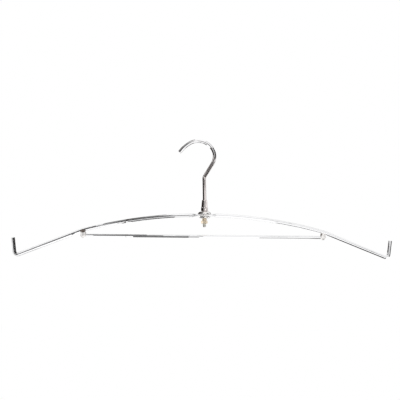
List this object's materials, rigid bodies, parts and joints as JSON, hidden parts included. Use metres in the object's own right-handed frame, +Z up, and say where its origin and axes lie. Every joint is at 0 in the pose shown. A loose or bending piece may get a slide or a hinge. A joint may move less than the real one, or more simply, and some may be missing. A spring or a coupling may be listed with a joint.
{
  "type": "apron hanger",
  "caption": "Bowed chrome rod hanger with upturned tips, a welded crossbar and a swivelling hook held by a brass nut, for hanging aprons from a rail.",
  "frame": {"origin": "the inner crest of the hook's bowl, where the rail bears", "axes": "+Z up, +X along the shoulders towards the hook's back, with its open side towards -X, +Y through the hanger's thickness, along the rail"},
  "size_m": [0.5367, 0.0186, 0.1663],
  "materials": {
    "hook_chrome": "bright chrome plate on steel wire",
    "ferrule_chrome": "bright chrome plate",
    "bush_brass": "turned brass, dull",
    "nut_brass": "milled brass, dull",
    "rod_chrome": "bright chrome plate on steel rod",
    "bar_chrome": "bright chrome plate on steel rod",
    "weld_chrome": "chrome plate over a weld bead",
    "washer_chrome": "bright chrome plate on a domed steel washer"
  },
  "bodies": {
    "hook_body": {"hook": "hook_chrome", "ferrule": "ferrule_chrome", "brass_bush": "bush_brass", "brass_nut": "nut_brass"},
    "frame_body": {"shoulder_rod": "rod_chrome", "crossbar": "bar_chrome", "weld_bead_left": "weld_chrome", "weld_bead_right": "weld_chrome", "upper_washer": "washer_chrome", "lower_washer": "washer_chrome"}
  },
  "joints": [
    {"name": "hook_swivel", "type": "hinge", "parent": "hook_body", "child": "frame_body", "pos_m": [0.00945, 0, -0.1018], "axis": [0, 0, 1], "continuous": true}
  ]
}
